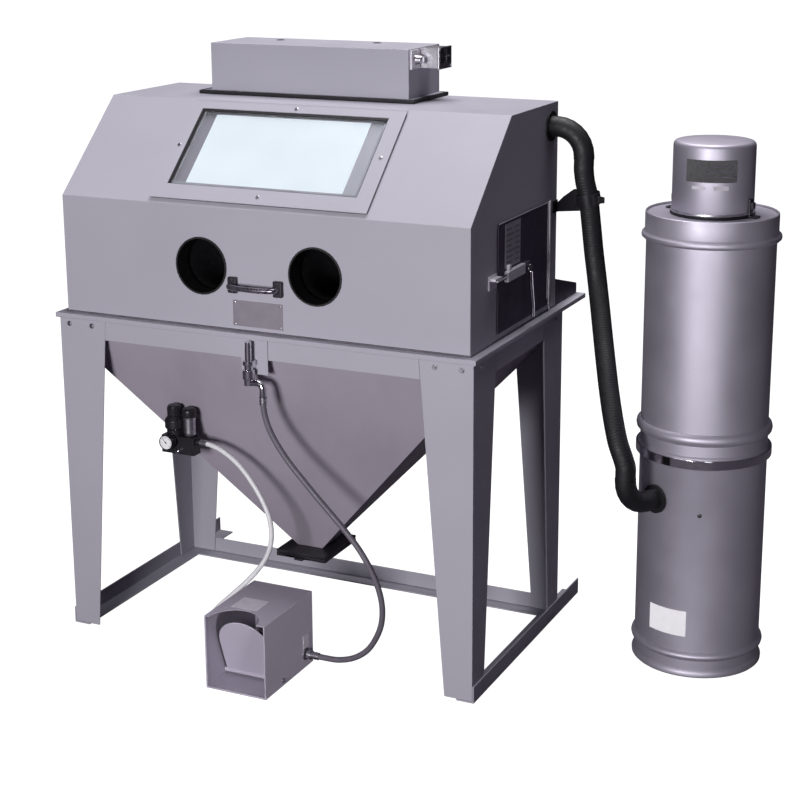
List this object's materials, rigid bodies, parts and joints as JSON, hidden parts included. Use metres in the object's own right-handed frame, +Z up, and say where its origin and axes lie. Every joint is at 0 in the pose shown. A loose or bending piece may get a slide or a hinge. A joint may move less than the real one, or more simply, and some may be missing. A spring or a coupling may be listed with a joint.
{
  "type": "sandblast cabinet",
  "caption": "Free-standing suction sandblast cabinet with a hopper on legs, light box, foot pedal, air hoses and a drum dust collector.",
  "frame": {"origin": "on the floor, at the centre of the product's bounding box with the hoses left out", "axes": "+X to the operator's right, from the cabinet to the dust collector; +Y from the operator to the back; +Z up"},
  "size_m": [1.6498, 0.894, 1.4475],
  "materials": {
    "grey_paint": "light grey paint, satin",
    "hopper_paint": "darker grey paint, satin",
    "black_paint": "black paint, satin",
    "zinc_steel": "zinc plated, dull",
    "chrome": "bright plated",
    "black_rubber": "matte",
    "black_plastic": "matte",
    "window_glass": "clear",
    "light_plastic": "white, satin",
    "grey_hose": "satin"
  },
  "bodies": {
    "cabinet": {"air_valve": "chrome", "apron_front": "grey_paint", "apron_left": "grey_paint", "apron_rear": "grey_paint", "apron_right": "grey_paint", "arm_ring_left": "black_rubber", "arm_ring_right": "black_rubber", "base_flange": "grey_paint", "blast_gun": "zinc_steel", "cabinet_shell": "grey_paint", "clamp_ring": "chrome", "door_hinge": "zinc_steel", "drum_lid": "grey_paint", "drum_lower": "grey_paint", "drum_upper": "grey_paint", "dust_hose": "black_rubber", "filter_bowl": "zinc_steel", "filter_cartridge": "light_plastic", "filter_regulator": "black_plastic", "foot_valve": "zinc_steel", "front_handle": "chrome", "glove_left": "black_rubber", "glove_right": "black_rubber", "grey_air_hose": "grey_hose", "head_gasket": "black_rubber", "hopper": "hopper_paint", "hopper_outlet": "black_paint", "hose_clamp": "black_plastic", "inlet_elbow": "black_rubber", "latch_keeper": "chrome", "leg_front_left": "grey_paint", "leg_front_right": "grey_paint", "leg_rear_left": "grey_paint", "leg_rear_right": "grey_paint", "light_gasket": "black_rubber", "light_housing": "grey_paint", "light_lens": "window_glass", "light_tube": "light_plastic", "pedal_guard": "grey_paint", "port_elbow": "black_rubber", "pressure_gauge": "light_plastic", "rail_left": "grey_paint", "rail_rear": "grey_paint", "rail_right": "grey_paint", "rear_air_box": "grey_paint", "switch_box": "zinc_steel", "vacuum_head": "zinc_steel", "valve_bracket": "grey_paint", "white_air_hose": "light_plastic", "window_frame": "grey_paint", "window_gasket": "black_rubber", "window_glass": "window_glass", "work_grate": "zinc_steel"},
    "door": {"side_door": "grey_paint"},
    "latch_lever": {"door_latch_lever": "chrome"},
    "light_switch": {"switch_toggle": "black_plastic"},
    "regulator_knob": {"regulator_knob": "black_plastic"},
    "treadle": {"pedal_treadle": "grey_paint"},
    "clean_out": {"clean_out_door": "black_paint"},
    "ring_lever": {"ring_lever": "chrome"}
  },
  "joints": [
    {"name": "door_hinge", "type": "hinge", "parent": "cabinet", "child": "door", "pos_m": [0.26945, 0.223, 0.961], "axis": [0, 0, 1], "range_deg": [0, 58]},
    {"name": "latch_turn", "type": "hinge", "parent": "door", "child": "latch_lever", "pos_m": [0.28575, 0.062, 0.957], "axis": [-1, 0, 0], "range_deg": [0, 90]},
    {"name": "switch_rock", "type": "hinge", "parent": "cabinet", "child": "light_switch", "pos_m": [0.01035, 0.192, 1.422], "axis": [0, 1, 0], "range_deg": [0, 40]},
    {"name": "regulator_turn", "type": "hinge", "parent": "cabinet", "child": "regulator_knob", "pos_m": [-0.53715, -0.204, 0.5718], "axis": [0, 0, 1], "continuous": true},
    {"name": "treadle_press", "type": "hinge", "parent": "cabinet", "child": "treadle", "pos_m": [-0.23915, -0.365, 0.014], "axis": [-1, 0, 0], "range_deg": [0, 15], "stiffness_Nm_per_rad": 4},
    {"name": "clean_out_swing", "type": "hinge", "parent": "cabinet", "child": "clean_out", "pos_m": [-0.26915, 0.1075, 0.196], "axis": [1, 0, 0], "range_deg": [0, 95]},
    {"name": "ring_lever_swing", "type": "hinge", "parent": "cabinet", "child": "ring_lever", "pos_m": [0.76551, 0.35284, 0.529], "axis": [0, 0, -1], "range_deg": [0, 100]}
  ]
}
